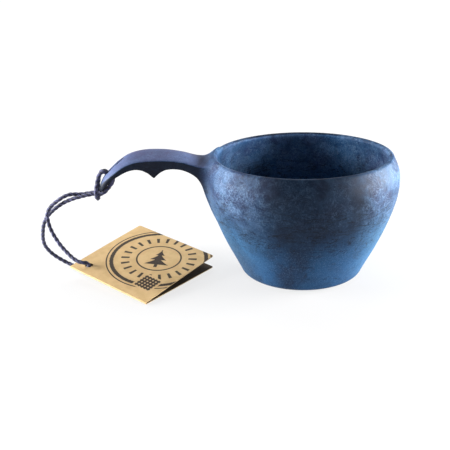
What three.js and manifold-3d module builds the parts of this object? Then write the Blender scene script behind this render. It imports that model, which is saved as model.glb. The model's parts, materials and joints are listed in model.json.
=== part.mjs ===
// A kuksa: a drinking cup moulded in one piece with its handle, with a cord hitched
// through the slot at the handle's tip and a folded card tag threaded on the cord.
//
// Millimetres, +Z up. The origin is the middle of the base, on the bowl's axis.
// The handle points along -X, and the XZ plane halves the cup.

import * as THREE from 'three';
import { ParametricGeometry } from 'three/addons/geometries/ParametricGeometry.js';
import { mergeVertices } from 'three/addons/utils/BufferGeometryUtils.js';
import Module from 'manifold-3d';

// ---------------------------------------------------------------- driving dimensions

// Bowl, as radii of a solid of revolution.
const CUP_HEIGHT = 70;
const BASE_RADIUS = 31.7;          // flat part of the underside
const BASE_CORNER = 4.4;           // rounding between the base and the side
const WALL = 3.2;                  // wall thickness on the side
const RIM_ROUND = 1.7;             // radius of the rounded lip
const FLOOR = 4.5;                 // thickness of the bottom on the axis
const SIDE_OUTSIDE = [             // [radius, height], bottom to top
  [38.4, 8.2], [44.5, 20.5], [50.1, 34.1], [53.8, 46.4], [54.85, 55], [54.3, 61.6],
];
const LIP_RADIUS = 49.7;           // radius of the lip's rounding centre
const INSIDE_BOTTOM = [            // [radius, height], the wide round inside of the bottom
  [33.6, 10.8], [24, 6.3], [12, 4.9],
];
const INSIDE_FOLLOWS_SIDE_ABOVE = 15;  // height from which the inside runs beside the outside
const BOWL_SEGMENTS = 64;
const SIDE_POINTS = 14;            // along the outside of the wall
const INSIDE_POINTS = 16;          // along the inside of the wall and bottom

// Handle, as functions of x along its length.
const HANDLE_ROOT_X = -44;
const HANDLE_TIP_X = -116.2;
const CUSP_X = -84;                // sharp point between the two finger notches
const TOP_LINE = [                 // [x, height] along the middle of the crown
  [-44, 68.8], [-50, 68.0], [-55, 67.6], [-60, 68.8], [-67, 71.8], [-74.6, 73.7], [-82, 74.4],
  [-89.6, 74.2], [-97.4, 72.4], [-103.6, 68.9], [-110.3, 63.1], [-112.8, 60.1], [-114.6, 56.9],
  [-115.8, 53.6], [-116.2, 51.6],
];
const HALF_WIDTH = [               // [x, distance from the middle to the side crease]
  [-44, 15.5], [-50, 14.2], [-56, 12.8], [-64, 11.6], [-74, 11], [-90, 11], [-100, 10.6],
  [-107, 9.8], [-111, 8.4], [-114, 6], [-115.6, 3.2], [-116.2, 0.6],
];
const CROWN_DROP = [               // [x, height of the crown above the crease]
  [-44, 0.4], [-56, 0.6], [-66, 2.0], [-74, 3.0], [-84, 3.5], [-96, 3.3], [-104, 3.4],
  [-110, 3.0], [-114, 2.2], [-116.2, 0.3],
];
const NOTCH_NEAR_BOWL = [          // [x, height] of the underside, bowl to cusp
  [-44, 36], [-50, 42], [-54, 49], [-57.7, 56.6], [-61, 61], [-66.5, 64.2], [-71.8, 65.3],
  [-76.5, 64.9], [-80, 63.2], [-84, 59.3],
];
const NOTCH_NEAR_TIP = [           // [x, height] of the underside, cusp to tip
  [-84, 59.3], [-87.6, 63.3], [-92.4, 65.5], [-98.2, 64.7], [-103.3, 62.1], [-108, 58.9],
  [-112.7, 53.3], [-115, 51.4], [-116.2, 51.1],
];
const KEEL_DEPTH = 14;             // depth below the crease where the flanks are narrowest
const KEEL_NARROWING = 0.6;        // share of the width lost at that depth
const KEEL_CURVE = 1.7;            // power that bends the flank inwards
const THINNEST = 0.1;              // depth of the flank where the tip runs out
const CROWN_STEPS = 8;             // round one section of the handle
const FLANK_STEPS = 4;
const UNDER_STEPS = 2;
const SECTIONS = [                 // [from x, to x, number of sections]
  [HANDLE_ROOT_X, CUSP_X, 15], [CUSP_X, -108, 10],
];
const TIP_SECTIONS = 8;            // from there to the tip, closer and closer
const SLOT_LENGTH = 15.6;
const SLOT_WIDTH = 6;
const SLOT_MIDDLE = [-107.05, 65.6];  // [x, height] on the crown
const SLOT_LEAN = THREE.MathUtils.degToRad(-32);
const SLOT_CUT = 40;               // length of the cutter, well past both faces

// Cord, twisted, 2.4 mm across.
const CORD_DIAMETER = 2.4;
const CORD_SIDES = 8;
const HITCH_STEPS = 56;
const STRAND_STEPS = 24;

// Folded card tag.
const TAG_LENGTH = 60;             // along the fold
const TAG_DEPTH = 59;              // from the fold to the free edge
const CARD = 0.4;                  // thickness of the card
const FOLD_GAP = 0.4;              // between the leaves at the fold
const FOLD_RELIEF = 0.35;          // where each leaf starts, measured from the fold line
const HOLE_FROM_END = 8.1;
const HOLE_FROM_FOLD = 7;
const HOLE_DIAMETER = 4.8;
const TAG_CORNER = [-135.6, -8.5, 7.8];              // the fold's raised end
const TAG_HEADING = THREE.MathUtils.degToRad(-37.7); // direction of the fold on the table
const TAG_TILT = THREE.MathUtils.degToRad(6.66);     // the fold runs down to the table
const TAG_OPENING = THREE.MathUtils.degToRad(6.66);  // between the two leaves

// End knot, under the tag's holes.
const KNOT_WIDTH = 7.4;
const KNOT_HEIGHT = 5.2;
const KNOT_MIDDLE = [-123.4, -4.4, 2.95];

// ---------------------------------------------------------------- colours

function material(color, roughness) {
  return new THREE.MeshStandardMaterial({ color, roughness, metalness: 0 });
}

const compositeMaterial = material(0x2c4468, 0.5);
const cordMaterial = material(0x252748, 0.85);
const cardMaterial = material(0xc8a36e, 0.8);

// ---------------------------------------------------------------- solids

const wasm = await Module();
wasm.setup();

/** A closed BufferGeometry as a manifold solid. */
function solid(geometry) {
  const bare = geometry.clone();
  bare.deleteAttribute('normal');
  bare.deleteAttribute('uv');
  const welded = mergeVertices(bare, 1e-4);
  const index = welded.index.array;
  const triangles = [];
  for (let i = 0; i < index.length; i += 3) {
    const [a, b, c] = [index[i], index[i + 1], index[i + 2]];
    if (a !== b && b !== c && c !== a) triangles.push(a, b, c);
  }
  return new wasm.Manifold(new wasm.Mesh({
    numProp: 3,
    vertProperties: new Float32Array(welded.attributes.position.array),
    triVerts: new Uint32Array(triangles),
  }));
}

/** A manifold solid as a BufferGeometry. */
function geometryOf(manifold) {
  const mesh = manifold.getMesh();
  const positions = [];
  for (let i = 0; i < mesh.vertProperties.length; i += mesh.numProp) {
    positions.push(mesh.vertProperties[i], mesh.vertProperties[i + 1], mesh.vertProperties[i + 2]);
  }
  const geometry = new THREE.BufferGeometry();
  geometry.setAttribute('position', new THREE.Float32BufferAttribute(positions, 3));
  geometry.setIndex(Array.from(mesh.triVerts));
  geometry.computeVertexNormals();
  return geometry;
}

/** A smooth function of x through the points [x, value], whichever way x runs. */
function smoothThrough(points) {
  const sorted = [...points].sort((a, b) => a[0] - b[0]);
  const last = sorted.length - 1;
  const slope = (i, j) => (sorted[j][1] - sorted[i][1]) / (sorted[j][0] - sorted[i][0]);
  const tangents = sorted.map((_, i) => slope(Math.max(i - 1, 0), Math.min(i + 1, last)));
  return (x) => {
    let i = 0;
    while (i < last - 1 && x > sorted[i + 1][0]) i += 1;
    const [x0, v0] = sorted[i];
    const [x1, v1] = sorted[i + 1];
    const span = x1 - x0;
    const t = THREE.MathUtils.clamp((x - x0) / span, 0, 1);
    const t2 = t * t;
    const t3 = t2 * t;
    return (2 * t3 - 3 * t2 + 1) * v0 + (t3 - 2 * t2 + t) * span * tangents[i]
      + (3 * t2 - 2 * t3) * v1 + (t3 - t2) * span * tangents[i + 1];
  };
}

/** Points on a circular arc, in degrees. */
function arc(centreRadius, centreHeight, radius, from, to, steps) {
  const points = [];
  for (let i = 0; i <= steps; i += 1) {
    const angle = THREE.MathUtils.degToRad(from + (to - from) * i / steps);
    points.push(new THREE.Vector2(
      centreRadius + radius * Math.cos(angle),
      centreHeight + radius * Math.sin(angle),
    ));
  }
  return points;
}

/** A closed solid of revolution about Z from a profile that starts and ends on the axis. */
function revolved(profile) {
  return new THREE.LatheGeometry(profile, BOWL_SEGMENTS).rotateX(Math.PI / 2);
}

// ---------------------------------------------------------------- bowl

const lipHeight = CUP_HEIGHT - RIM_ROUND;
const baseArc = arc(BASE_RADIUS, BASE_CORNER, BASE_CORNER, -90, -18, 4);  // from below, outwards
const lipArc = arc(LIP_RADIUS, lipHeight, RIM_ROUND, 14, 176, 6);         // over the lip, inwards

/** The outside of the bowl from the base's corner to the lip. */
function outsideSide() {
  const spline = new THREE.SplineCurve([
    baseArc[baseArc.length - 1],
    ...SIDE_OUTSIDE.map(([r, z]) => new THREE.Vector2(r, z)),
    lipArc[0],
  ]);
  return spline.getPoints(SIDE_POINTS).slice(1, -1);
}

/** The inside of the bowl from the lip down to near the axis, a given distance into the wall. */
function insideSide(intoWall) {
  const down = [...SIDE_OUTSIDE].reverse().filter(([, z]) => z > INSIDE_FOLLOWS_SIDE_ABOVE);
  const spline = new THREE.SplineCurve([
    new THREE.Vector2(LIP_RADIUS - RIM_ROUND + intoWall, lipHeight),
    ...down.map(([r, z]) => new THREE.Vector2(r - WALL + intoWall, z)),
    ...INSIDE_BOTTOM.map(([r, z]) => new THREE.Vector2(r + intoWall, z - intoWall)),
    new THREE.Vector2(0, FLOOR - intoWall),
  ]);
  return spline.getPoints(INSIDE_POINTS).slice(0, -1);
}

function bowl() {
  return revolved([
    new THREE.Vector2(0, 0),
    ...baseArc,
    ...outsideSide(),
    ...lipArc,
    ...insideSide(0).slice(1),
    new THREE.Vector2(0, FLOOR),
  ]);
}

/** What the handle must stay out of: the inside of the bowl, grown to the middle of the wall. */
function cavityPlug() {
  const inside = insideSide(WALL / 2).reverse();
  const mouthRadius = inside[inside.length - 1].x;
  const aboveCup = 2 * CUP_HEIGHT;
  return revolved([
    new THREE.Vector2(0, FLOOR - WALL / 2),
    ...inside,
    new THREE.Vector2(mouthRadius, aboveCup),
    new THREE.Vector2(0, aboveCup),
  ]);
}

// ---------------------------------------------------------------- handle

const topHeight = smoothThrough(TOP_LINE);
const halfWidth = smoothThrough(HALF_WIDTH);
const crownDrop = smoothThrough(CROWN_DROP);
const notchNearBowl = smoothThrough(NOTCH_NEAR_BOWL);
const notchNearTip = smoothThrough(NOTCH_NEAR_TIP);

function undersideHeight(x) {
  return x > CUSP_X ? notchNearBowl(x) : notchNearTip(x);
}

/** Half of the handle's width at a depth below the side crease. */
function flankHalfWidth(x, depth) {
  const share = Math.min(depth / KEEL_DEPTH, 1);
  return halfWidth(x) * (1 - KEEL_NARROWING * share ** KEEL_CURVE);
}

/** The outline of the handle's section at x, as [y, z] points, round the crown first. */
function handleSection(x) {
  const width = halfWidth(x);
  const crease = topHeight(x) - crownDrop(x);
  const under = Math.min(undersideHeight(x), crease - THINNEST);
  const depth = crease - under;
  const points = [];
  for (let i = 0; i < CROWN_STEPS; i += 1) {
    const y = width * (2 * i / CROWN_STEPS - 1);
    points.push([y, crease + crownDrop(x) * (1 - (y / width) ** 2)]);
  }
  for (let i = 0; i < FLANK_STEPS; i += 1) {
    const below = depth * i / FLANK_STEPS;
    points.push([flankHalfWidth(x, below), crease - below]);
  }
  const keel = flankHalfWidth(x, depth);
  for (let i = 0; i < UNDER_STEPS; i += 1) {
    points.push([keel * (1 - 2 * i / UNDER_STEPS), under]);
  }
  for (let i = 0; i < FLANK_STEPS; i += 1) {
    const below = depth * (1 - i / FLANK_STEPS);
    points.push([-flankHalfWidth(x, below), crease - below]);
  }
  return points;
}

/** Where the sections stand: even steps, with one on the cusp and closer ones at the tip. */
function handleStations() {
  const stations = [];
  for (const [from, to, count] of SECTIONS) {
    for (let i = 0; i < count; i += 1) {
      stations.push(from + (to - from) * i / count);
    }
  }
  const tipStart = SECTIONS[SECTIONS.length - 1][1];
  for (let i = 0; i <= TIP_SECTIONS; i += 1) {
    const share = Math.sin(i / TIP_SECTIONS * Math.PI / 2);
    stations.push(tipStart + (HANDLE_TIP_X - tipStart) * share);
  }
  return stations;
}

/** A closed loft through the sections, with a point in the middle of each end. */
function handle() {
  const sections = handleStations().map((x) => ({ x, ring: handleSection(x) }));
  const stacks = sections.length + 1;
  const around = sections[0].ring.length;
  const surface = (u, v, target) => {
    const row = Math.round(v * stacks) - 1;
    const { x, ring } = sections[THREE.MathUtils.clamp(row, 0, sections.length - 1)];
    const [y, z] = ring[Math.round(u * around) % around];
    if (row >= 0 && row < sections.length) {
      target.set(x, y, z);
    } else {
      const heights = ring.map((p) => p[1]);
      target.set(x, 0, (Math.max(...heights) + Math.min(...heights)) / 2);
    }
  };
  return new ParametricGeometry(surface, around, stacks);
}

/** The cord slot's cutter: a long hole with round ends, square to the crown. */
function slotCutter() {
  const straight = (SLOT_LENGTH - SLOT_WIDTH) / 2;
  const outline = new THREE.Shape();
  outline.absarc(straight, 0, SLOT_WIDTH / 2, -Math.PI / 2, Math.PI / 2, false);
  outline.absarc(-straight, 0, SLOT_WIDTH / 2, Math.PI / 2, 3 * Math.PI / 2, false);
  const options = { depth: SLOT_CUT, bevelEnabled: false, curveSegments: 8 };
  const cutter = new THREE.ExtrudeGeometry(outline, options);
  cutter.translate(0, 0, -SLOT_CUT / 2);
  cutter.rotateY(SLOT_LEAN);
  return cutter.translate(SLOT_MIDDLE[0], 0, SLOT_MIDDLE[1]);
}

function cupMesh() {
  const grip = solid(handle()).subtract(solid(cavityPlug())).subtract(solid(slotCutter()));
  const cup = new THREE.Mesh(geometryOf(solid(bowl()).add(grip)), compositeMaterial);
  cup.name = 'kuksa_cup';
  return cup;
}

// ---------------------------------------------------------------- cord

// One side of the hitch, from the tail that leaves it to the middle of the bight:
// along the underside, up through the slot, over the tip and round below the tails.
const HITCH_SIDE = [
  [-119.6, 1.35, 49.8], [-117.3, 1.35, 49.5], [-114.9, 1.3, 49.7], [-113.0, 1.25, 50.8],
  [-111.5, 1.25, 52.3], [-110.2, 1.25, 53.8], [-109.0, 1.25, 55.2], [-108.3, 1.25, 56.5],
  [-108.2, 1.25, 57.8], [-108.8, 1.25, 59.1], [-109.7, 1.25, 60.3], [-110.7, 1.25, 61.4],
  [-111.7, 1.3, 62.3], [-112.95, 1.4, 62.7], [-114.2, 1.6, 62.3], [-115.2, 1.9, 61.2],
  [-116.0, 2.3, 59.4], [-116.6, 2.8, 57.1], [-117.2, 3.4, 54.5], [-117.7, 3.9, 51.9],
  [-117.7, 3.9, 49.5], [-117.4, 2.7, 47.5],
];
const BIGHT_MIDDLE = [-117.3, 0, 46.7];

// From the hitch to the tag's holes.
const FRONT_ROUTE = [
  [-120.1, 1.35, 49.8], [-123.4, 1.35, 49.4], [-127.0, 1.35, 49.0], [-130.6, 1.3, 49.1],
  [-133.8, 0.8, 49.1], [-137.0, 0.1, 48.2], [-140.4, -0.7, 46.3], [-143.7, -1.3, 43.9],
  [-146.1, -1.7, 41.2], [-147.3, -2.0, 38.2], [-147.3, -2.3, 34.7], [-146.3, -2.8, 30.1],
  [-144.2, -3.6, 25.2], [-140.6, -5.1, 19.6], [-136.6, -7.0, 15.5], [-133.4, -9.0, 13.2],
  [-130.4, -10.4, 11.8], [-127.9, -10.9, 11.2], [-126.3, -10.4, 10.8], [-125.4, -9.4, 10.0],
  [-125.0, -8.5, 8.8], [-124.95, -8.05, 7.4], [-124.8, -7.7, 5.8],
];

// From the hitch down to the table and under the tag's corner to the end knot.
const BACK_ROUTE = [
  [-120.1, -1.35, 49.7], [-123.4, -1.35, 49.2], [-127.0, -1.35, 48.4], [-130.6, -1.3, 47.5],
  [-134.1, -0.8, 46.2], [-137.6, -0.2, 44.5], [-141.8, 0.4, 41.8], [-145.9, 1.0, 38.4],
  [-148.6, 1.5, 35.4], [-150.4, 2.0, 32.4], [-151.7, 2.7, 29.0], [-152.6, 3.7, 25.2],
  [-153.4, 5.1, 20.6], [-153.2, 6.9, 15.6], [-151.5, 8.4, 11.4], [-148.6, 9.4, 7.7],
  [-144.8, 9.8, 4.6], [-141.2, 9.6, 2.4], [-138.0, 8.0, 1.6], [-134.8, 4.6, 1.5],
  [-132.4, 1.2, 1.8], [-130.4, -1.6, 2.2], [-128.0, -3.6, 2.7],
];

/** A tube of the cord's diameter along a smooth curve through the route's points. */
function cordTube(name, route, steps) {
  const points = route.map((p) => new THREE.Vector3(...p));
  const path = new THREE.CatmullRomCurve3(points, false, 'centripetal');
  path.arcLengthDivisions = 1200;
  const section = new THREE.Shape();
  for (let i = 0; i < CORD_SIDES; i += 1) {
    const angle = (i + 0.5) * 2 * Math.PI / CORD_SIDES;
    const place = [CORD_DIAMETER / 2 * Math.cos(angle), CORD_DIAMETER / 2 * Math.sin(angle)];
    if (i === 0) section.moveTo(...place);
    else section.lineTo(...place);
  }
  section.closePath();
  const tube = new THREE.ExtrudeGeometry(section, { steps, extrudePath: path, bevelEnabled: false });
  const mesh = new THREE.Mesh(tube, cordMaterial);
  mesh.name = name;
  return mesh;
}

function hitchRoute() {
  const farSide = HITCH_SIDE.map(([x, y, z]) => [x, -y, z]).reverse();
  return [...HITCH_SIDE, BIGHT_MIDDLE, ...farSide];
}

function endKnot() {
  const knot = new THREE.SphereGeometry(0.5, 14, 10);
  knot.scale(KNOT_WIDTH, KNOT_WIDTH, KNOT_HEIGHT);
  const mesh = new THREE.Mesh(knot, cordMaterial);
  mesh.position.set(...KNOT_MIDDLE);
  mesh.name = 'cord_end_knot';
  return mesh;
}

// ---------------------------------------------------------------- tag

/** One leaf of the card, flat, with x along the fold and its fold edge near y = 0. */
function leaf(name) {
  const outline = new THREE.Shape();
  outline.moveTo(0, FOLD_RELIEF);
  outline.lineTo(TAG_LENGTH, FOLD_RELIEF);
  outline.lineTo(TAG_LENGTH, TAG_DEPTH);
  outline.lineTo(0, TAG_DEPTH);
  outline.closePath();
  const hole = new THREE.Path();
  hole.absarc(HOLE_FROM_END, HOLE_FROM_FOLD, HOLE_DIAMETER / 2, 0, 2 * Math.PI, true);
  outline.holes.push(hole);
  const options = { depth: CARD, bevelEnabled: false, curveSegments: 16 };
  const card = new THREE.ExtrudeGeometry(outline, options);
  const mesh = new THREE.Mesh(card, cardMaterial);
  mesh.name = name;
  return mesh;
}

function tag() {
  const back = leaf('tag_back_leaf');
  back.position.z = -FOLD_GAP / 2 - CARD;
  const front = leaf('tag_front_leaf');
  front.position.z = FOLD_GAP / 2;
  const frontTurn = new THREE.Group();
  frontTurn.rotation.x = TAG_OPENING;
  frontTurn.add(front);
  const folded = new THREE.Group();
  folded.position.set(...TAG_CORNER);
  folded.rotation.set(0, TAG_TILT, TAG_HEADING, 'ZYX');
  folded.add(back, frontTurn);
  return folded;
}

// ---------------------------------------------------------------- assembly

const kuksa = new THREE.Group();
kuksa.name = 'kuksa';
kuksa.add(
  cupMesh(),
  cordTube('cord_hitch', hitchRoute(), HITCH_STEPS),
  cordTube('cord_front_strand', FRONT_ROUTE, STRAND_STEPS),
  cordTube('cord_back_strand', BACK_ROUTE, STRAND_STEPS),
  endKnot(),
  tag(),
);

export default kuksa;
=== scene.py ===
"""The looks of the kuksa cup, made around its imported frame: the moulded cup, its cord and its card tag.

Metres, +Z up. The origin is the middle of the cup's base, and the handle points along -X.
"""

import json
import math

import bpy
import numpy as np
from mathutils import Matrix, Vector


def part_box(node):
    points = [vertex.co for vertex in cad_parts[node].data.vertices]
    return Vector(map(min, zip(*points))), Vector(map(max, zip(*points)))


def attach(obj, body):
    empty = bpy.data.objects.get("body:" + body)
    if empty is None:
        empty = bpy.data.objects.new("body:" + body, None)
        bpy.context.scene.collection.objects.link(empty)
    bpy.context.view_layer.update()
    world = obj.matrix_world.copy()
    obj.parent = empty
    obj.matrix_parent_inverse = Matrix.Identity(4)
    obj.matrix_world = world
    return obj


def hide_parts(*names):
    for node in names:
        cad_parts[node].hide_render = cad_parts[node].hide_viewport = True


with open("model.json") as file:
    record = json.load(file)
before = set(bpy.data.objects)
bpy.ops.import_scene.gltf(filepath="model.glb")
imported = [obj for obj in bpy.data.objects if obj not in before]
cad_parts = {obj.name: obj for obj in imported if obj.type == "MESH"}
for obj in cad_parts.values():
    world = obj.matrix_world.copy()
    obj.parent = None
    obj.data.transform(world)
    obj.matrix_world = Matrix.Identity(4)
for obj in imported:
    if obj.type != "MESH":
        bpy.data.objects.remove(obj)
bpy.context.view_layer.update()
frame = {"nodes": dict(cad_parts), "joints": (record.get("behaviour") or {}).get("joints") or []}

MM = 0.001


# ---------------------------------------------------------------- camera

CAMERA_PLACE = (-0.0447, -0.4, 0.1797)
CAMERA_PITCH = math.radians(20.785)   # below the horizon
CAMERA_ROLL = math.radians(1.657)
LENS = 58.4
SENSOR = 36


def add_camera():
    camera = bpy.data.objects.new("camera", bpy.data.cameras.new("camera"))
    camera.data.lens = LENS
    camera.data.sensor_width = SENSOR
    pitched = Matrix.Rotation(math.pi / 2 - CAMERA_PITCH, 4, "X")
    rolled = Matrix.Rotation(-CAMERA_ROLL, 4, "Z")
    camera.matrix_world = Matrix.Translation(CAMERA_PLACE) @ pitched @ rolled
    bpy.context.scene.collection.objects.link(camera)
    bpy.context.scene.camera = camera


# ---------------------------------------------------------------- curves and meshes

def smooth_curve(points, samples=24):
    """A centripetal Catmull-Rom curve through the points, with this many samples between two of them."""
    points = np.array(points, float)
    points = np.vstack([2 * points[0] - points[1], points, 2 * points[-1] - points[-2]])
    gaps = np.linalg.norm(np.diff(points, axis=0), axis=1) ** 0.5
    knots = np.concatenate([[0], np.cumsum(gaps)])
    stretches = []
    for i in range(1, len(points) - 2):
        t0, t1, t2, t3 = knots[i - 1:i + 3]
        p0, p1, p2, p3 = points[i - 1:i + 3]
        t = np.linspace(t1, t2, samples, endpoint=False)[:, None]
        a1 = ((t1 - t) * p0 + (t - t0) * p1) / (t1 - t0)
        a2 = ((t2 - t) * p1 + (t - t1) * p2) / (t2 - t1)
        a3 = ((t3 - t) * p2 + (t - t2) * p3) / (t3 - t2)
        b1 = ((t2 - t) * a1 + (t - t0) * a2) / (t2 - t0)
        b2 = ((t3 - t) * a2 + (t - t1) * a3) / (t3 - t1)
        stretches.append(((t2 - t) * b1 + (t - t1) * b2) / (t2 - t1))
    return np.vstack([*stretches, points[-2:-1]])


def evenly(points, spacing):
    """The same curve with its points this far apart along it, and its length."""
    run = np.concatenate([[0], np.cumsum(np.linalg.norm(np.diff(points, axis=0), axis=1))])
    at = np.linspace(0, run[-1], round(run[-1] / spacing) + 1)
    return np.column_stack([np.interp(at, run, column) for column in points.T]), run[-1]


def add_piece(name, points, faces, sharp_above=None):
    """A smooth-shaded mesh object. Edges sharper than an angle in degrees stay crisp."""
    mesh = bpy.data.meshes.new(name)
    mesh.from_pydata([tuple(p) for p in points], [], faces)
    mesh.shade_smooth()
    if sharp_above:
        mesh.set_sharp_from_angle(angle=math.radians(sharp_above))
    piece = bpy.data.objects.new(name, mesh)
    bpy.context.scene.collection.objects.link(piece)
    return piece


# ---------------------------------------------------------------- cord

CORD_DIAMETER = 0.0024
CORD_SPACING = 0.0003     # between two rings of the cord's surface
CORD_SIDES = 20
CORD_LAY = 0.0064         # length of one full turn of the two plies
PLY_RADIUS = 0.78         # each ply's radius, as a share of the cord's
PLY_OFFSET = 0.22         # how far each ply's middle is from the cord's, as a share of its radius
KNOT_CUT = math.radians(26)   # where the overhand knot's two ends are cut, on either side of its start
KNOT_POINTS = 60
KNOT_SAMPLES = 6
KNOT_ENTRY = 0.3          # how far the back tail's end is from the knot's middle, of the way out

# One side of the hitch, from its tail to the middle of the bight.
HITCH_SIDE = [
    (-0.1196, 0.00135, 0.0498), (-0.1173, 0.00135, 0.0495), (-0.1149, 0.0013, 0.0497),
    (-0.1130, 0.00125, 0.0508), (-0.1115, 0.00125, 0.0523), (-0.1102, 0.00125, 0.0538),
    (-0.1090, 0.00125, 0.0552), (-0.1083, 0.00125, 0.0565), (-0.1082, 0.00125, 0.0578),
    (-0.1088, 0.00125, 0.0591), (-0.1097, 0.00125, 0.0603), (-0.1107, 0.00125, 0.0614),
    (-0.1117, 0.0013, 0.0623), (-0.11295, 0.0014, 0.0627), (-0.1142, 0.0016, 0.0623),
    (-0.1152, 0.0019, 0.0612), (-0.1160, 0.0023, 0.0594), (-0.1166, 0.0028, 0.0571),
    (-0.1172, 0.0034, 0.0545), (-0.1177, 0.0039, 0.0519), (-0.1177, 0.0039, 0.0495),
    (-0.1174, 0.0027, 0.0475),
]
BIGHT_MIDDLE = (-0.1173, 0, 0.0467)

# From the hitch to the tag's holes.
FRONT_ROUTE = [
    (-0.1201, 0.00135, 0.0498), (-0.1234, 0.00135, 0.0494), (-0.1270, 0.00135, 0.0490),
    (-0.1306, 0.0013, 0.0491), (-0.1338, 0.0008, 0.0491), (-0.1370, 0.0001, 0.0482),
    (-0.1404, -0.0007, 0.0463), (-0.1437, -0.0013, 0.0439), (-0.1461, -0.0017, 0.0412),
    (-0.1473, -0.0020, 0.0382), (-0.1473, -0.0023, 0.0347), (-0.1463, -0.0028, 0.0301),
    (-0.1442, -0.0036, 0.0252), (-0.1406, -0.0051, 0.0196), (-0.1366, -0.0070, 0.0155),
    (-0.1334, -0.0090, 0.0132), (-0.1304, -0.0104, 0.0118), (-0.1279, -0.0109, 0.0112),
    (-0.1263, -0.0104, 0.0108), (-0.1254, -0.0094, 0.0100), (-0.1250, -0.0085, 0.0088),
    (-0.12495, -0.00805, 0.0074), (-0.1248, -0.0077, 0.0058),
]

# From the hitch down to the table and under the tag's corner to the end knot.
BACK_ROUTE = [
    (-0.1201, -0.00135, 0.0497), (-0.1234, -0.00135, 0.0492), (-0.1270, -0.00135, 0.0484),
    (-0.1306, -0.0013, 0.0475), (-0.1341, -0.0008, 0.0462), (-0.1376, -0.0002, 0.0445),
    (-0.1418, 0.0004, 0.0418), (-0.1459, 0.0010, 0.0384), (-0.1486, 0.0015, 0.0354),
    (-0.1504, 0.0020, 0.0324), (-0.1517, 0.0027, 0.0290), (-0.1526, 0.0037, 0.0252),
    (-0.1534, 0.0051, 0.0206), (-0.1532, 0.0069, 0.0156), (-0.1515, 0.0084, 0.0114),
    (-0.1486, 0.0094, 0.0077), (-0.1448, 0.0098, 0.0046), (-0.1412, 0.0096, 0.0024),
    (-0.1380, 0.0080, 0.0016), (-0.1348, 0.0046, 0.0015), (-0.1324, 0.0012, 0.0018),
    (-0.1304, -0.0016, 0.0022), (-0.1280, -0.0036, 0.0027),
]

# From the middle of the end knot up to the front route's lower end.
KNOT_LEAD = [(-0.1237, -0.0052, 0.0032), (-0.1244, -0.0067, 0.0043)]


def carried_frames(path):
    """Two directions across the path at each of its points, carried along it without turning about it."""
    along = np.gradient(path, axis=0)
    along /= np.linalg.norm(along, axis=1)[:, None]
    side = np.cross(along[0], (0, 0, 1) if abs(along[0][2]) < 0.9 else (1, 0, 0))
    sides = []
    for direction in along:
        side = side - side.dot(direction) * direction
        side = side / np.linalg.norm(side)
        sides.append(side)
    sides = np.array(sides)
    return sides, np.cross(along, sides)


def twisted_cord(name, path, radius):
    """A two-ply cord round a path, with its length and its turn kept in a UV map."""
    sides, ups = carried_frames(path)
    run = np.arange(len(path)) * np.linalg.norm(path[1] - path[0])
    turn = 2 * math.pi * run / CORD_LAY
    angle = np.arange(CORD_SIDES) * 2 * math.pi / CORD_SIDES
    reach = PLY_OFFSET * np.abs(np.cos(angle)) + np.sqrt(PLY_RADIUS ** 2 - (PLY_OFFSET * np.sin(angle)) ** 2)
    at = angle[None, :] + turn[:, None]
    rings = path[:, None, :] + radius * reach[None, :, None] * (
        np.cos(at)[..., None] * sides[:, None, :] + np.sin(at)[..., None] * ups[:, None, :])
    faces, places = [], []      # places are each corner's run along the cord and share of a turn round it
    for i in range(len(path) - 1):
        for j in range(CORD_SIDES):
            here, there = i * CORD_SIDES, (i + 1) * CORD_SIDES
            after = (j + 1) % CORD_SIDES
            faces.append((here + j, here + after, there + after, there + j))
            left, right = j / CORD_SIDES, (j + 1) / CORD_SIDES
            places += [(run[i], left), (run[i], right), (run[i + 1], right), (run[i + 1], left)]
    last = (len(path) - 1) * CORD_SIDES
    faces.append(tuple(range(CORD_SIDES))[::-1])
    faces.append(tuple(range(last, last + CORD_SIDES)))
    places += [(0, 0)] * CORD_SIDES + [(run[-1], 0)] * CORD_SIDES
    piece = add_piece(name, rings.reshape(-1, 3), faces)
    layer = piece.data.uv_layers.new(name="along")
    layer.data.foreach_set("uv", (np.array(places) / (CORD_LAY, 1)).ravel())
    return piece


def knot_path():
    """An overhand knot inside the end knot's box, with its two cut ends lying on the table."""
    lo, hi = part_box("cord_end_knot")
    centre = (lo + hi) / 2
    radius = CORD_DIAMETER / 2
    wide = ((hi.x - lo.x) / 2 - radius) / 3
    high = (hi.z - lo.z) / 2 - radius
    t = np.linspace(KNOT_CUT, 2 * math.pi - KNOT_CUT, KNOT_POINTS)
    loops = np.column_stack([
        wide * (np.sin(t) + 2 * np.sin(2 * t)),
        wide * (np.cos(t) - 2 * np.cos(2 * t)),
        -high * np.sin(3 * t),
    ])
    return np.array(centre) + loops


def add_cord():
    knot, _ = evenly(smooth_curve(knot_path(), KNOT_SAMPLES), CORD_SPACING)
    end_knot = twisted_cord("end_knot", knot, CORD_DIAMETER / 2)
    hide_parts("cord_end_knot")
    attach(end_knot, "cup")

    lo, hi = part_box("cord_end_knot")
    middle = (lo + hi) / 2
    far_side = [(x, -y, z) for x, y, z in reversed(HITCH_SIDE)]
    route = [tuple(middle), *KNOT_LEAD, *reversed(FRONT_ROUTE), *HITCH_SIDE, BIGHT_MIDDLE, *far_side,
             *BACK_ROUTE, tuple(middle.lerp(Vector(BACK_ROUTE[-1]), KNOT_ENTRY))]
    path, length = evenly(smooth_curve(route), CORD_SPACING)
    cord = twisted_cord("cord", path, CORD_DIAMETER / 2)
    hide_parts("cord_hitch", "cord_front_strand", "cord_back_strand")
    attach(cord, "cup")
    return cord, end_knot


# ---------------------------------------------------------------- cup

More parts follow.
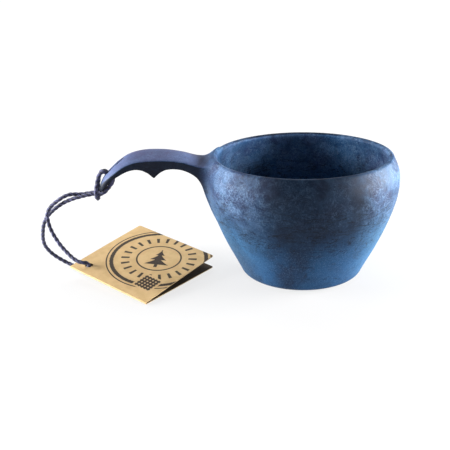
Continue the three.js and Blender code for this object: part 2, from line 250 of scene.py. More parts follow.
CUP_STEP = 0.85 * MM        # between two points of the cup's surface
ROOT_BLEND = 6 * MM         # how softly the handle runs into the bowl
CREASE_ROUND = 0.8 * MM
UNDER_ROUND = 0.7 * MM
SLOT_ROUND = 0.8 * MM
FAR = 100 * MM              # further than any distance in the tables
SLOPE_STEP = 0.1 * MM       # step over which the slope of the handle's lines is measured
PROBE = 0.12 * MM           # step over which the slope of a distance is measured
NEWTON_STEPS = 3            # that move the mesh's points onto the surface
FLATTEST = 0.2              # squared slope below which a point isn't trusted to move further

# The bowl's outline, in millimetres, as in the solid model.
CUP_HEIGHT = 70
BASE_RADIUS, BASE_CORNER = 31.7, 4.4
LIP_RADIUS, RIM_ROUND = 49.7, 1.7
WALL, FLOOR = 3.2, 4.5
SIDE_OUTSIDE = [(38.4, 8.2), (44.5, 20.5), (50.1, 34.1), (53.8, 46.4), (54.85, 55), (54.3, 61.6)]
INSIDE_BOTTOM = [(33.6, 10.8), (24, 6.3), (12, 4.9)]
INSIDE_FOLLOWS_SIDE_ABOVE = 15
CURVE_SAMPLES, ARC_STEPS = 16, 6

# The handle's lines, in millimetres, each a function of x.
HANDLE_TIP_X, CUSP_X = -116.2, -84
TOP_LINE = [
    (-44, 68.8), (-50, 68.0), (-55, 67.6), (-60, 68.8), (-67, 71.8), (-74.6, 73.7), (-82, 74.4),
    (-89.6, 74.2), (-97.4, 72.4), (-103.6, 68.9), (-110.3, 63.1), (-112.8, 60.1), (-114.6, 56.9),
    (-115.8, 53.6), (-116.2, 51.6),
]
HALF_WIDTH = [
    (-44, 15.5), (-50, 14.2), (-56, 12.8), (-64, 11.6), (-74, 11), (-90, 11), (-100, 10.6),
    (-107, 9.8), (-111, 8.4), (-114, 6), (-115.6, 3.2), (-116.2, 0.6),
]
CROWN_DROP = [
    (-44, 0.4), (-56, 0.6), (-66, 2.0), (-74, 3.0), (-84, 3.5), (-96, 3.3), (-104, 3.4),
    (-110, 3.0), (-114, 2.2), (-116.2, 0.3),
]
NOTCH_NEAR_BOWL = [
    (-44, 36), (-50, 42), (-54, 49), (-57.7, 56.6), (-61, 61), (-66.5, 64.2), (-71.8, 65.3),
    (-76.5, 64.9), (-80, 63.2), (-84, 59.3),
]
NOTCH_NEAR_TIP = [
    (-84, 59.3), (-87.6, 63.3), (-92.4, 65.5), (-98.2, 64.7), (-103.3, 62.1), (-108, 58.9),
    (-112.7, 53.3), (-115, 51.4), (-116.2, 51.1),
]
KEEL_DEPTH, KEEL_NARROWING, KEEL_CURVE = 14, 0.6, 1.7
SLOT_LENGTH, SLOT_WIDTH = 15.6, 6
SLOT_MIDDLE = (-107.05, 65.6)
SLOT_LEAN = math.radians(32)


def line(table):
    """A smooth function of x through a table's points, in metres."""
    x, value = np.array(sorted(table)).T * MM
    ahead, behind = np.append(np.arange(1, len(x)), len(x) - 1), np.insert(np.arange(len(x) - 1), 0, 0)
    slope = (value[ahead] - value[behind]) / (x[ahead] - x[behind])

    def at(place):
        i = np.clip(np.searchsorted(x, place, "right") - 1, 0, len(x) - 2)
        span = x[i + 1] - x[i]
        t = np.clip((place - x[i]) / span, 0, 1)
        return ((2 * t ** 3 - 3 * t ** 2 + 1) * value[i] + (t ** 3 - 2 * t ** 2 + t) * span * slope[i]
                + (3 * t ** 2 - 2 * t ** 3) * value[i + 1] + (t ** 3 - t ** 2) * span * slope[i + 1])
    return at


def softly_lower(a, b, blend):
    """The lower of two distances, with the corner between them rounded."""
    share = np.maximum(blend - np.abs(a - b), 0) / blend
    return np.minimum(a, b) - share * share * blend / 4


def softly_higher(a, b, blend):
    """The higher of two distances, with the corner between them rounded."""
    return -softly_lower(-a, -b, blend)


def arc(centre, radius, start, end, steps):
    """Points on a circular arc between two angles in degrees."""
    angles = np.radians(np.linspace(start, end, steps + 1))
    return [(centre[0] + radius * math.cos(a), centre[1] + radius * math.sin(a)) for a in angles]


class Revolved:
    """Signed distance to a solid of revolution, looked up in a table over radius and height."""

    CELL = 0.25 * MM
    LOW = -6 * MM           # the table's lowest height
    WIDE, HIGH = 66 * MM, 90 * MM

    def __init__(self, edge, closing):
        """edge is the outline's real surface, and closing the points that shut it round the axis."""
        columns, rows = round(self.WIDE / self.CELL), round(self.HIGH / self.CELL)
        r, z = np.meshgrid(np.arange(columns) * self.CELL, self.LOW + np.arange(rows) * self.CELL,
                           indexing="ij")
        nearest = np.full(r.shape, FAR)
        for (r0, z0), (r1, z1) in zip(edge[:-1], edge[1:]):
            dr, dz = r1 - r0, z1 - z0
            share = np.clip(((r - r0) * dr + (z - z0) * dz) / (dr * dr + dz * dz), 0, 1)
            nearest = np.minimum(nearest, np.hypot(r - r0 - share * dr, z - z0 - share * dz))
        inside = np.zeros(r.shape, bool)
        outline = np.vstack([edge, closing, edge[:1]])
        for (r0, z0), (r1, z1) in zip(outline[:-1], outline[1:]):
            if z0 != z1:
                crosses = (z0 > z) != (z1 > z)
                inside ^= crosses & (r < r0 + (z - z0) * (r1 - r0) / (z1 - z0))
        self.table = np.where(inside, -nearest, nearest)

    def __call__(self, r, z):
        u = np.clip(r / self.CELL, 0, self.table.shape[0] - 1.001)
        v = np.clip((z - self.LOW) / self.CELL, 0, self.table.shape[1] - 1.001)
        i, j = u.astype(int), v.astype(int)
        u, v = u - i, v - j
        table = self.table
        return ((1 - u) * ((1 - v) * table[i, j] + v * table[i, j + 1])
                + u * ((1 - v) * table[i + 1, j] + v * table[i + 1, j + 1]))


def bowl_distances():
    """The bowl's outer body, as if it were full, and its hollow."""
    lip = (LIP_RADIUS, CUP_HEIGHT - RIM_ROUND)
    outer = smooth_curve([*arc((BASE_RADIUS, BASE_CORNER), BASE_CORNER, -90, -18, ARC_STEPS), *SIDE_OUTSIDE,
                          *arc(lip, RIM_ROUND, 14, 90, ARC_STEPS)], CURVE_SAMPLES) * MM
    side = [(r - WALL, z) for r, z in reversed(SIDE_OUTSIDE) if z > INSIDE_FOLLOWS_SIDE_ABOVE]
    inner = smooth_curve([*arc(lip, RIM_ROUND, 90, 176, ARC_STEPS), *side, *INSIDE_BOTTOM, (0, FLOOR)],
                         CURVE_SAMPLES) * MM
    top = CUP_HEIGHT * MM
    full = Revolved(np.vstack([(0, 0), outer, (0, top)]), np.array([(0, top / 2)]))
    above = 1.2 * top
    hollow = Revolved(np.vstack([(inner[0][0], above), inner]), np.array([(0, above)]))
    return full, hollow


top_height, half_width, crown_drop = line(TOP_LINE), line(HALF_WIDTH), line(CROWN_DROP)
near_bowl, near_tip = line(NOTCH_NEAR_BOWL), line(NOTCH_NEAR_TIP)


def underside_height(x):
    return np.where(x > CUSP_X * MM, near_bowl(x), near_tip(x))


def steepness(height, x):
    """How much a height's slope stretches a distance measured straight up."""
    return np.hypot(1, (height(x + SLOPE_STEP) - height(x - SLOPE_STEP)) / (2 * SLOPE_STEP))


def handle_distance(x, y, z):
    """Signed distance to the handle without its slot: crowned above, keeled at the sides, notched below."""
    drop = crown_drop(x)
    crease = top_height(x) - drop
    width = half_width(x)
    crown = (z - crease - drop * (1 - (y / width) ** 2)) / steepness(top_height, x)
    share = np.clip((crease - z) / (KEEL_DEPTH * MM), 0, 1)
    flank = np.abs(y) - width * (1 - KEEL_NARROWING * share ** KEEL_CURVE)
    under = (underside_height(x) - z) / steepness(underside_height, x)
    grip = softly_higher(softly_higher(crown, flank, CREASE_ROUND), under, UNDER_ROUND)
    grip = np.maximum(grip, HANDLE_TIP_X * MM - x)
    return np.maximum(grip, x - HALF_WIDTH[0][0] * MM)


def slot_distance(x, y, z):
    """Signed distance to the leaning slot, which has round ends."""
    run = (x - SLOT_MIDDLE[0] * MM) * math.cos(SLOT_LEAN) + (z - SLOT_MIDDLE[1] * MM) * math.sin(SLOT_LEAN)
    straight = (SLOT_LENGTH - SLOT_WIDTH) / 2 * MM
    return np.hypot(np.maximum(np.abs(run) - straight, 0), y) - SLOT_WIDTH / 2 * MM


bowl_full, bowl_hollow = bowl_distances()


def cup_distance(x, y, z):
    """Signed distance to the cup's surface, near enough, and negative inside the material."""
    radius = np.hypot(x, y)
    grip = softly_higher(handle_distance(x, y, z), -slot_distance(x, y, z), SLOT_ROUND)
    body = softly_lower(bowl_full(radius, z), grip, ROOT_BLEND)
    return np.maximum(body, -bowl_hollow(radius, z))


def surface_of(distance, lo, hi, step):
    """A quad mesh of the surface where a distance is zero, its points moved exactly onto it."""
    axes = [np.arange(a, b, step) for a, b in zip(lo, hi)]
    field = distance(axes[0][:, None, None], axes[1][None, :, None], axes[2][None, None, :])
    inside = field < 0
    total = np.zeros((field.size, 3))
    count = np.zeros(field.size)
    quads = []
    for axis in range(3):
        unit = np.eye(3, dtype=int)[axis]
        one, other = np.eye(3, dtype=int)[(axis + 1) % 3], np.eye(3, dtype=int)[(axis + 2) % 3]
        low = np.argwhere(np.diff(inside, axis=axis))
        before, after = field[tuple(low.T)], field[tuple((low + unit).T)]
        crossing = low + (before / (before - after))[:, None] * unit
        cells = [low, low - one, low - one - other, low - other]
        ids = np.column_stack([np.ravel_multi_index(c.T, field.shape) for c in cells])
        for column in ids.T:
            np.add.at(total, column, crossing)
            np.add.at(count, column, 1)
        quads.append(np.where((before < 0)[:, None], ids, ids[:, ::-1]))
    quads = np.vstack(quads)
    used, quads = np.unique(quads, return_inverse=True)
    points = np.array(lo) + step * total[used] / count[used, None]
    for _ in range(NEWTON_STEPS):
        slope = np.column_stack([
            (distance(*(points + PROBE * unit).T) - distance(*(points - PROBE * unit).T)) / (2 * PROBE)
            for unit in np.eye(3)])
        move = distance(*points.T) / np.maximum((slope ** 2).sum(1), FLATTEST)
        points -= np.clip(move, -step / 2, step / 2)[:, None] * slope
    return points, quads.reshape(-1, 4)


def add_cup():
    margin = 3 * CUP_STEP
    lo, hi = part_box("kuksa_cup")
    points, quads = surface_of(cup_distance, [a - margin for a in lo], [b + margin for b in hi], CUP_STEP)
    cup = add_piece("moulded_cup", points, quads.tolist())
    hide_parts("kuksa_cup")
    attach(cup, "cup")
    return cup


# ---------------------------------------------------------------- tag

TAG_LENGTH, TAG_DEPTH = 60 * MM, 59 * MM
CARD = 0.4 * MM
HALF_GAP = 0.2 * MM           # from the fold's middle to each leaf's inner face
HOLE_MIDDLE = (8.1 * MM, 7 * MM)
HOLE_RADIUS = 2.4 * MM
HOLE_BLOCK = 4 * MM           # half of the square round the hole that its rings fill
HOLE_RINGS = 4
CARD_CELL = 1 * MM
CURL_ROWS = 16                # from the fold's line to the end of a leaf's curl


def ticks(start, end, cell):
    """Evenly spaced values from start to end, about a cell apart."""
    return list(np.linspace(start, end, max(round((end - start) / cell), 1) + 1))


def card_pattern(curl):
    """Flat points and quads of a leaf with its round hole, starting a curl's length before the fold."""
    hx, hy = HOLE_MIDDLE

    def lines(middle, end):
        """The grid's lines from the fold or the leaf's end to its far edge, with some at the hole's block."""
        return [*ticks(0, middle - HOLE_BLOCK, CARD_CELL)[:-1],
                *ticks(middle - HOLE_BLOCK, middle + HOLE_BLOCK, CARD_CELL),
                *ticks(middle + HOLE_BLOCK, end, CARD_CELL)[1:]]

    columns = lines(hx, TAG_LENGTH)
    rows = [*ticks(-curl, 0, curl / CURL_ROWS)[:-1], *lines(hy, TAG_DEPTH)]
    points = [(x, y) for y in rows for x in columns]
    wide = len(columns)

    def near(value, middle):
        return abs(value - middle) < HOLE_BLOCK - CARD_CELL / 10

    quads = []
    for j in range(len(rows) - 1):
        for i in range(wide - 1):
            middle = ((columns[i] + columns[i + 1]) / 2, (rows[j] + rows[j + 1]) / 2)
            if not (near(middle[0], hx) and near(middle[1], hy)):
                corner = j * wide + i
                quads.append((corner, corner + 1, corner + 1 + wide, corner + wide))
    first_x, first_y = columns.index(hx - HOLE_BLOCK), rows.index(hy - HOLE_BLOCK)
    size = round(2 * HOLE_BLOCK / CARD_CELL)
    square = [(k, 0) for k in range(size)] + [(size, k) for k in range(size)]
    square += [(size - k, size) for k in range(size)] + [(0, size - k) for k in range(size)]
    ring = [(first_y + v) * wide + first_x + u for u, v in square]
    starts = ring
    for step in range(1, HOLE_RINGS + 1):
        share = step / HOLE_RINGS
        ends = list(range(len(points), len(points) + len(ring)))
        for corner in ring:
            x, y = points[corner]
            angle = math.atan2(y - hy, x - hx)
            round_x, round_y = hx + HOLE_RADIUS * math.cos(angle), hy + HOLE_RADIUS * math.sin(angle)
            points.append((x + (round_x - x) * share, y + (round_y - y) * share))
        for k in range(len(ring)):
            after = (k + 1) % len(ring)
            quads.append((starts[k], starts[after], ends[after], ends[k]))
        starts = ends
    return np.array(points), quads


def leaf_frame(node):
    """A leaf's axes, from the fold's joint and the leaf's broad face: along the fold, into the leaf, up."""
    fold = next(joint for joint in frame["joints"] if joint["name"] == "tag_fold")
    along = Vector(fold["axis"]).normalized()
    broad = max(frame["nodes"][node].data.polygons, key=lambda face: face.area)
    up = broad.normal if broad.normal.z > 0 else -broad.normal
    axes = Matrix((along, up.cross(along), up)).transposed().to_4x4()
    return Matrix.Translation(fold["pos_m"]) @ axes


LAP = math.radians(26)         # where the two leaves' curls lie one over the other
LAPPED = 0.02 * MM             # clearance of each from the middle of the card there
SOFT_CORNER = 0.35 * MM
BOW_AT_ENDS = 0.6              # of the bow in the leaf's middle
CRISP_EDGE = 35                # degrees


def add_leaf(name, node, body, side, curl_turn, lift, materials):
    """One leaf of the card, with the half of the fold that it carries.

    side is 1 above the fold and -1 below it, curl_turn is how far the leaf's end curls round the fold, and
    lift is how far its middle bows up. materials are for the outer face, the inner face and the cut edges.
    """
    middle = HALF_GAP + CARD / 2
    pattern, quads = card_pattern(middle * curl_turn)
    for x in (0, TAG_LENGTH):
        corner = (np.abs(pattern - (x, TAG_DEPTH)) < MM / 100).all(axis=1)
        pattern[corner] += (SOFT_CORNER if x == 0 else -SOFT_CORNER, -SOFT_CORNER)
    x, y = pattern.T
    turn = np.maximum(-y, 0) / middle
    flat = np.maximum(y, 0)
    along = BOW_AT_ENDS + (1 - BOW_AT_ENDS) * np.sin(math.pi * x / TAG_LENGTH)
    bow = lift * np.sin(math.pi * flat / TAG_DEPTH) * along
    normals = np.column_stack([np.zeros(len(x)), -np.sin(turn), side * np.cos(turn)])
    centres = np.column_stack([x, flat - middle * np.sin(turn), side * middle * np.cos(turn) + bow])
    lapped = turn > curl_turn - LAP
    outer_half = np.where(lapped & (side < 0), -LAPPED, CARD / 2)
    inner_half = np.where(lapped & (side > 0), -LAPPED, CARD / 2)
    outer = centres + normals * outer_half[:, None]
    inner = centres - normals * inner_half[:, None]

    count = len(pattern)
    outward = quads if side > 0 else [face[::-1] for face in quads]
    inward = [tuple(count + corner for corner in face[::-1]) for face in outward]
    edges = {(face[k], face[(k + 1) % 4]) for face in outward for k in range(4)}
    rim = sorted((a, b) for a, b in edges if (b, a) not in edges)
    walls = [(b, a, a + count, b + count) for a, b in rim]
    leaf = add_piece(name, np.vstack([outer, inner]), [*outward, *inward, *walls], sharp_above=CRISP_EDGE)

    for material in materials:
        leaf.data.materials.append(material)
    slots = [0] * len(outward) + [1] * len(inward) + [2] * len(walls)
    leaf.data.polygons.foreach_set("material_index", slots)
    flat_places = np.vstack([pattern, pattern]) / TAG_LENGTH
    corners = np.zeros(len(leaf.data.loops), int)
    leaf.data.loops.foreach_get("vertex_index", corners)
    leaf.data.uv_layers.new(name="leaf").data.foreach_set("uv", flat_places[corners].ravel())
    leaf.matrix_world = leaf_frame(node)
    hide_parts(node)
    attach(leaf, body)
    return leaf


# ---------------------------------------------------------------- materials

def colour(red, green, blue):
    """An sRGB colour, 0 to 255, as Blender's linear one."""
    shares = [value / 255 for value in (red, green, blue)]
    return (*[s / 12.92 if s <= 0.04045 else ((s + 0.055) / 1.055) ** 2.4 for s in shares], 1)


class Tree:
    """A material's node tree, built with short calls. An input is a socket, a number or a tuple."""

    def __init__(self, name):
        self.material = bpy.data.materials.new(name)
        self.material.use_nodes = True
        self.nodes = self.material.node_tree.nodes
        self.links = self.material.node_tree.links
        self.nodes.clear()

    def add(self, kind, inputs, **settings):
        node = self.nodes.new("ShaderNode" + kind)
        for key, value in settings.items():
            setattr(node, key, value)
        for key, value in inputs.items():
            if isinstance(value, bpy.types.NodeSocket):
                self.links.new(value, node.inputs[key])
            else:
                node.inputs[key].default_value = value
        return node

    def place(self):
        return self.add("TexCoord", {}).outputs["Object"]

    def math(self, operation, a, b=0.0):
        return self.add("Math", {0: a, 1: b}, operation=operation).outputs[0]

    def times(self, first, *others):
        for other in others:
            first = self.math("MULTIPLY", first, other)
        return first

    def without(self, share):
        """What a share leaves of one."""
        return self.math("SUBTRACT", 1.0, share)

    def ridge(self, value, narrow, wide):
        """One where a noise crosses its middle, falling to nothing on either side."""
        return self.ramp(self.math("ABSOLUTE", self.math("SUBTRACT", value, 0.5)), narrow, wide, 1, 0)

    def stretched(self, vector, scale):
        return self.add("VectorMath", {0: vector, 1: scale}, operation="MULTIPLY").outputs[0]

    def noise(self, vector, scale, detail=3, roughness=0.6, distortion=0):
        inputs = {"Vector": vector, "Scale": scale, "Detail": detail, "Roughness": roughness,
                  "Distortion": distortion}
        return self.add("TexNoise", inputs).outputs[0]

    def ramp(self, value, low, high, at_low=0.0, at_high=1.0):
        """value taken smoothly from at_low, at low and below, to at_high, at high and above."""
        inputs = {"Value": value, "From Min": low, "From Max": high, "To Min": at_low, "To Max": at_high}
        return self.add("MapRange", inputs, interpolation_type="SMOOTHSTEP").outputs[0]

    def mix(self, share, first, second):
        return self.add("Mix", {0: share, 6: first, 7: second}, data_type="RGBA").outputs[2]

    def surface(self, base, roughness, height, depth, **shader):
        """The shader, with a bump of this depth in metres. shader holds its other inputs."""
        bump = self.add("Bump", {"Height": height, "Distance": depth})
        inputs = {"Base Color": base, "Roughness": roughness, "Normal": bump.outputs[0]}
        inputs.update({key.replace("_", " "): value for key, value in shader.items()})
        principled = self.add("BsdfPrincipled", inputs)
        output = self.nodes.new("ShaderNodeOutputMaterial")
        self.links.new(principled.outputs[0], output.inputs[0])
        return self.material


# The composite's colours. The near-black blue of the side's middle and the dark of the handle's flanks are
# painted shade, and the teal of the lower shoulders and the handle's lavender are painted light. The haze,
# frost and lace are the composite's own speckle where they are faint, and a painted sheen and painted glints
# where they are strong on the shoulders and inside.
DEEP_BLUE, STEEL_BLUE = colour(20, 42, 70), colour(30, 72, 112)
PLUM, MIDDLE_SHADE, SHADE = colour(50, 52, 88), colour(2, 11, 26), colour(12, 20, 38)
LIT_TEAL = colour(78, 128, 164)
HAZE_AND_SHEEN, FROST_AND_GLINT, LACE_AND_GLINT = colour(94, 130, 168), colour(126, 160, 196), colour(144, 172, 206)
FLOW_MARK = colour(6, 10, 20)
PALE_GRAIN, DARK_GRAIN = colour(104, 136, 178), colour(12, 20, 36)
LIT_LAVENDER, FLANK_SHADE = colour(116, 110, 146), colour(8, 8, 18)


def composite_material():
    """Moulded wood-fibre composite: steel blue, plum towards the rim, with frost on both shoulders, partly
    its own speckle and partly a painted sheen and painted glints, painted shade and dark flow marks in
    between, and a painted highlight in lavender on the handle's crown and painted shade on its flanks.
    """
    tree = Tree("composite")
    coordinates = tree.add("TexCoord", {})
    place, normal = coordinates.outputs["Object"], coordinates.outputs["Normal"]
    x, _, height = tree.add("SeparateXYZ", {0: place}).outputs
    cloud = tree.noise(place, 30, 4, 0.55, 0.3)
    patch = tree.noise(place, 130, 5, 0.62, 0.6)
    fleck = tree.noise(place, 460, 5, 0.72)
    grain = tree.noise(place, 1500, 3, 0.7)

    # Where on the cup: its upper part, its inside, its two shoulders, where the side light falls, and the
    # side's middle between them, which takes painted shade.
    facing_up = tree.add("SeparateXYZ", {0: normal}).outputs[2]
    outward = tree.add("VectorMath", {0: normal, 1: place}, operation="DOT_PRODUCT").outputs["Value"]
    upper = tree.ramp(height, 26 * MM, 56 * MM)
    inside = tree.ramp(outward, 0.0, -10 * MM)
    wavy = tree.math("ADD", tree.math("ABSOLUTE", x), tree.times(tree.noise(place, 35, 3), 24 * MM))
    lit_shoulder = tree.ramp(wavy, 28 * MM, 62 * MM)
    middle = tree.times(tree.ramp(height, 12 * MM, 46 * MM), tree.without(lit_shoulder), tree.without(inside))

    # The blues, from cloudy steel blue below to plum above, with painted shade in the middle and painted
    # light in teal low on the shoulders, more on the right than on the left.
    base = tree.mix(tree.ramp(cloud, 0.36, 0.62), DEEP_BLUE, STEEL_BLUE)
    plum = tree.times(upper, tree.ramp(tree.noise(place, 40, 3), 0.4, 0.64, 0.05, 0.5))
    base = tree.mix(plum, base, PLUM)
    # Painted shade: the side's middle taken towards a near-black blue.
    base = tree.mix(tree.times(middle, 0.85), base, MIDDLE_SHADE)
    base = tree.mix(tree.ramp(patch, 0.46, 0.3, 0, 0.5), base, SHADE)
    # Painted light: the lower shoulders taken towards teal, more on the right.
    low_lit_shoulder = tree.times(lit_shoulder, tree.without(upper))
    paler = tree.ramp(x, 15 * MM, 45 * MM, 0.3, 0.55)
    base = tree.mix(tree.times(low_lit_shoulder, paler), base, LIT_TEAL)

    # The frost: a soft haze, fine flecks in it, and a lace of pale loops. A little of it everywhere up high
    # is the composite's own speckle, and the much stronger frost on the shoulders and inside is a painted
    # sheen and painted glints. Less inside and on the handle.
    off_handle = tree.ramp(x, -53 * MM, -45 * MM, 0.35, 1)
    inner_part = tree.times(inside, 0.45)
    glint_spread = tree.math("MAXIMUM", tree.times(lit_shoulder, off_handle, tree.without(inner_part)), inner_part)
    share = tree.times(upper, tree.math("ADD", 0.04, tree.times(glint_spread, 0.34)))
    haze_and_sheen = tree.times(tree.ramp(tree.noise(place, 85, 5, 0.66, 1.1), 0.42, 0.6), share)
    base = tree.mix(haze_and_sheen, base, HAZE_AND_SHEEN)
    flecks_and_glints = tree.times(tree.ramp(fleck, 0.48, 0.68), tree.ramp(patch, 0.42, 0.58, 0.12, 1))
    base = tree.mix(tree.times(flecks_and_glints, tree.math("ADD", 0.03, tree.times(share, 0.8))), base, FROST_AND_GLINT)
    loops = tree.ridge(tree.noise(place, 230, 4, 0.62, 1.8), 0.004, 0.034)
    lace_and_glint = tree.times(loops, tree.ramp(tree.noise(place, 60, 2), 0.4, 0.54), share)
    base = tree.mix(lace_and_glint, base, LACE_AND_GLINT)

    # Dark flow marks in a band round the side, and the grain.
    flow = tree.noise(tree.stretched(place, (1, 1, 5)), 42, 5, 0.58, 1.2)
    band = tree.times(tree.ramp(height, 20 * MM, 32 * MM), tree.ramp(height, 58 * MM, 48 * MM))
    base = tree.mix(tree.times(tree.ridge(flow, 0.003, 0.022), band, 0.75), base, FLOW_MARK)
    # The pale grain is thinned in the middle, to keep its painted shade dark.
    pale = tree.times(tree.ramp(grain, 0.5, 0.7, 0, 0.24), tree.ramp(middle, 0, 1, 1, 0.12))
    base = tree.mix(pale, base, PALE_GRAIN)
    base = tree.mix(tree.ramp(grain, 0.48, 0.3, 0, 0.4), base, DARK_GRAIN)

    # The handle's crown and flanks: a painted highlight in lavender on the upward-facing crown, and painted
    # shade on the flanks, which face sideways and down.
    handle = tree.ramp(x, -50 * MM, -60 * MM)
    crown = tree.times(handle, tree.ramp(facing_up, 0.3, 0.6))
    base = tree.mix(tree.times(crown, 0.3), base, LIT_LAVENDER)
    flank = tree.times(handle, tree.ramp(facing_up, 0.5, 0.2))
    base = tree.mix(tree.times(flank, 0.9), base, FLANK_SHADE)

    roughness = tree.ramp(fleck, 0.35, 0.65, 0.5, 0.66)
    relief = tree.math("ADD", tree.times(fleck, 0.7), tree.times(grain, 0.3))
    return tree.surface(base, roughness, relief, 0.16 * MM, Specular_IOR_Level=0.12)


YARNS_ALONG = 26.0        # yarns passed along one turn of the plies
YARNS_ROUND = 8.0         # and round the cord


def cord_material():
    """Twisted cord: dark navy, with painted shade in the grooves between the plies and painted light along
    their backs, with its yarns in relief.
    """
    tree = Tree("cord")
    along = tree.add("UVMap", {}, uv_map="along").outputs[0]
    parts = tree.add("SeparateXYZ", {0: along})
    run, round_at = parts.outputs[0], parts.outputs[1]
    ply = tree.math("ABSOLUTE", tree.math("COSINE", tree.times(round_at, 2 * math.pi)))
    slant = tree.math("ADD", tree.times(run, YARNS_ALONG), tree.times(round_at, YARNS_ROUND))
    yarn = tree.math("SINE", tree.times(slant, 2 * math.pi))
    fibre = tree.noise(tree.place(), 2600, 4, 0.7)
    worn = tree.noise(tree.place(), 210, 3, 0.6)

    # Painted shade and light: dark in the grooves between the plies, paler on their backs.
    base = tree.mix(tree.ramp(ply, 0.25, 1.0), colour(24, 25, 46), colour(54, 57, 100))
    base = tree.mix(tree.ramp(worn, 0.5, 0.68, 0, 0.55), base, colour(104, 104, 150))
    base = tree.mix(tree.ramp(fibre, 0.52, 0.75, 0, 0.5), base, colour(120, 122, 166))
    height = tree.math("ADD", tree.times(yarn, 0.25), fibre)
    return tree.surface(base, 0.72, height, 0.16 * MM, Sheen_Weight=0.25, Sheen_Roughness=0.5)


CARD_RELIEF = 0.06 * MM


def kraft(tree):
    """Unbleached card: its colour, and the height of its fibres."""
    place = tree.place()
    pulp = tree.noise(place, 180, 3, 0.5)
    fibres = tree.noise(tree.stretched(place, (1, 4.5, 1)), 1100, 4, 0.7, 0.8)
    base = tree.mix(tree.ramp(pulp, 0.35, 0.65), colour(200, 167, 116), colour(210, 178, 127))
    base = tree.mix(tree.ramp(fibres, 0.56, 0.74, 0, 0.35), base, colour(172, 137, 88))
    base = tree.mix(tree.ramp(fibres, 0.42, 0.28, 0, 0.3), base, colour(228, 203, 156))
    return base, tree.math("ADD", tree.times(pulp, 0.4), fibres)


def plain_card_material(name, shade, share):
    """Card whose colour is taken some way towards a shade."""
    tree = Tree(name)
    base, fibres = kraft(tree)
    return tree.surface(tree.mix(share, base, shade), 0.82, fibres, CARD_RELIEF)


# The print, in millimetres on the leaf: x along the fold and y away from it.
INK = colour(36, 25, 22)
STAMP_MIDDLE = (36, 37)
STAMP_TURN = math.radians(-27)    # the stamp stands upright seen from its lattice block
BROAD_RING, THIN_RING, INNER_RING = (26.9, 29.2), (30.6, 31.4), (12.6, 13.6)
RING_RAGGEDNESS = 1.1             # of the broad ring's edges
DASHES = 22
DASH_RING = (17.5, 22.5)
DASH_SHARE = (0.3, 0.6)           # of the way from one dash's place to the next
FIR_FOOT, FIR_TOP = -7.0, 9.0
FIR_TIER = 5.0                    # height of each of the fir's tiers
FIR_POINT = 9.4                   # height at which its sides would meet
FIR_SLOPE = 0.36
TRUNK_HALF, TRUNK_FOOT, TRUNK_HEAD = 1.0, -9.8, -6.9
LATTICE_MIDDLE = (48, 14)
LATTICE_SIZE = 11
LATTICE_CELLS = 5
LATTICE_BAR = (0.22, 0.78)        # of each cell
LATTICE_MARGIN = 1.2              # that the rings leave round the block
BLUR = 0.12                       # of the print's edges


def printed_card_material():
    """Card with a round stamp, a fir in its middle and dashes round it, and a small lattice block."""
    tree = Tree("card_printed")
    base, fibres = kraft(tree)
    leaf = tree.add("UVMap", {}, uv_map="leaf").outputs[0]
    in_mm = tree.stretched(leaf, (TAG_LENGTH / MM,) * 3)
    ragged = tree.noise(in_mm, 1.4, 3, 0.6)
    wear = tree.noise(in_mm, 2.6, 4, 0.7)

    def within(value, low, high, blur=BLUR):
        rise = tree.ramp(value, low - blur, low + blur)
        return tree.times(rise, tree.ramp(value, high - blur, high + blur, 1, 0))

    def turned(middle, angle):
        """Coordinates from a middle, turned so that the second one is the print's up."""
        mapping = tree.add("Mapping", {"Vector": in_mm, "Location": (*middle, 0), "Rotation": (0, 0, angle)},
                           vector_type="TEXTURE")
        return tree.add("SeparateXYZ", {0: mapping.outputs[0]}).outputs[0:2]

    across, up = turned(STAMP_MIDDLE, -STAMP_TURN)
    radius = tree.math("SQRT", tree.math("ADD", tree.math("POWER", across, 2.0), tree.math("POWER", up, 2.0)))
    rough_radius = tree.math("ADD", radius, tree.times(tree.math("SUBTRACT", ragged, 0.5), RING_RAGGEDNESS))
    turn = tree.times(tree.math("ARCTAN2", up, across), DASHES / (2 * math.pi))
    dashes = tree.times(within(tree.math("FRACT", turn), *DASH_SHARE, 0.03), within(radius, *DASH_RING))

    tier = tree.math("FRACT", tree.times(tree.math("ADD", up, -FIR_FOOT), 1 / FIR_TIER))
    slope = tree.times(tree.math("SUBTRACT", FIR_POINT, up), FIR_SLOPE)
    half_wide = tree.times(slope, tree.math("SUBTRACT", 1.25, tree.times(tier, 0.8)))
    inside = tree.math("SUBTRACT", half_wide, tree.math("ABSOLUTE", across))
    fir = tree.times(tree.ramp(inside, -0.1, 0.15), within(up, FIR_FOOT, FIR_TOP))
    trunk = tree.times(within(across, -TRUNK_HALF, TRUNK_HALF), within(up, TRUNK_FOOT, TRUNK_HEAD))

    at = turned(LATTICE_MIDDLE, 0)
    half = LATTICE_SIZE / 2
    bars = []
    for value in at:
        cell = tree.times(tree.math("ADD", value, half), LATTICE_CELLS / LATTICE_SIZE)
        bars.append(within(tree.math("FRACT", cell), *LATTICE_BAR, 0.05))
    block, clear = [tree.times(*[within(value, -edge, edge) for value in at])
                    for edge in (half, half + LATTICE_MARGIN)]
    lattice = tree.times(block, tree.math("MAXIMUM", *bars))

    ink = within(rough_radius, *BROAD_RING)
    for mark in (within(radius, *THIN_RING), within(radius, *INNER_RING), dashes, fir, trunk):
        ink = tree.math("MAXIMUM", ink, mark)
    ink = tree.math("MAXIMUM", tree.times(ink, tree.without(clear)), lattice)
    ink = tree.times(ink, tree.ramp(wear, 0.28, 0.42, 0.7, 0.97))
    return tree.surface(tree.mix(ink, base, INK), 0.8, fibres, CARD_RELIEF)


GLOW_FROM_TO = (0.2, 0.8)         # distances from the cup over which the floor's glow grows
GLOW = (0.75, 1.0)


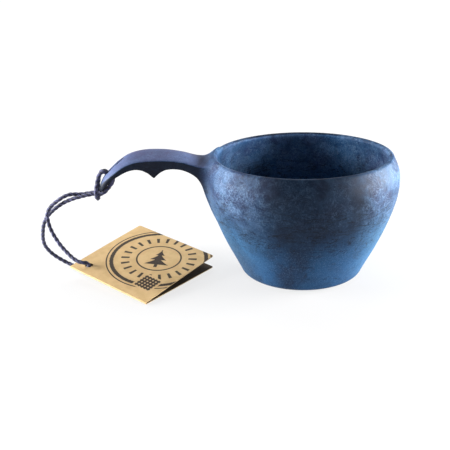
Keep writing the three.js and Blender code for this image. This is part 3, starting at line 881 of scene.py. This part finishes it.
def floor_material():
    """A white sweep that glows, its glow painted a little dimmer round the object so that its soft shadows
    show.
    """
    tree = Tree("floor")
    place = tree.place()
    grain = tree.noise(place, 30, 2, 0.5)
    base = tree.mix(grain, colour(98, 98, 99), colour(102, 102, 102))
    distance = tree.add("VectorMath", {0: place}, operation="LENGTH").outputs["Value"]
    glow = tree.ramp(distance, *GLOW_FROM_TO, *GLOW)
    return tree.surface(base, 0.7, grain, 0.02 * MM, Emission_Color=(1, 1, 1, 1), Emission_Strength=glow)


# ---------------------------------------------------------------- studio

FLOOR_HALF, FLOOR_LINES = 6, 9

# Each light's name, place, what it points at, size and watts.
LIGHTS = [
    ("softbox_left", (-0.7, 0.06, 0.16), (0, 0, 0.05), (0.45, 0.28), 15),
    ("softbox_right", (0.66, 0.03, 0.17), (0, 0, 0.05), (0.45, 0.28), 19),
    ("overhead", (-0.12, 0.5, 0.85), (-0.07, 0, 0.03), (1.0, 0.5), 5),
]
HORIZON, SKY = (0.2, 1.0), (0.36, 0.12)   # each the sine of an elevation, and the world's strength there


def add_floor():
    steps = np.linspace(-FLOOR_HALF, FLOOR_HALF, FLOOR_LINES)
    points = [(x, y, 0) for y in steps for x in steps]
    wide = len(steps)
    faces = [(j * wide + i, j * wide + i + 1, (j + 1) * wide + i + 1, (j + 1) * wide + i)
             for j in range(wide - 1) for i in range(wide - 1)]
    floor = add_piece("floor", points, faces)
    floor.data.materials.append(floor_material())


def add_light(name, place, target, size, power):
    light = bpy.data.lights.new(name, "AREA")
    light.shape = "RECTANGLE"
    light.size, light.size_y = size
    light.energy = power
    lamp = bpy.data.objects.new(name, light)
    lamp.location = place
    lamp.rotation_euler = (Vector(target) - Vector(place)).to_track_quat("-Z", "Y").to_euler()
    bpy.context.scene.collection.objects.link(lamp)


def add_world():
    """Dim overhead and white round the horizon, so that the sweep runs into it."""
    world = bpy.data.worlds.new("studio")
    world.use_nodes = True
    nodes, links = world.node_tree.nodes, world.node_tree.links
    parts = nodes.new("ShaderNodeSeparateXYZ")
    links.new(nodes.new("ShaderNodeTexCoord").outputs["Generated"], parts.inputs[0])
    fade = nodes.new("ShaderNodeMapRange")
    fade.interpolation_type = "SMOOTHSTEP"
    links.new(parts.outputs[2], fade.inputs["Value"])
    for key, value in zip(("From Min", "To Min", "From Max", "To Max"), (*HORIZON, *SKY)):
        fade.inputs[key].default_value = value
    nodes["Background"].inputs["Color"].default_value = (1, 1, 1, 1)
    links.new(fade.outputs[0], nodes["Background"].inputs["Strength"])
    bpy.context.scene.world = world


def add_studio():
    add_floor()
    for light in LIGHTS:
        add_light(*light)
    add_world()
    bpy.context.scene.view_settings.view_transform = "Standard"


# ---------------------------------------------------------------- the object

add_camera()
cord, end_knot = add_cord()
for piece in (cord, end_knot):
    piece.data.materials.append(cord_material())

cup = add_cup()
cup.data.materials.append(composite_material())

# Painted shade: the card of the inner faces is taken most of the way towards dark brown, because the fold
# keeps the light from them.
shaded_card_inside = plain_card_material("card_inside_shaded", colour(58, 41, 31), 0.9)
card_edge = plain_card_material("card_edge", colour(190, 162, 118), 0.6)
kraft_card = plain_card_material("card_plain", colour(190, 160, 112), 0.1)
add_leaf("tag_back", "tag_back_leaf", "tag_back", -1, math.radians(92), 0.0,
         (kraft_card, shaded_card_inside, card_edge))
add_leaf("tag_front", "tag_front_leaf", "tag_front", 1, math.radians(90), 0.35 * MM,
         (printed_card_material(), shaded_card_inside, card_edge))

add_studio()
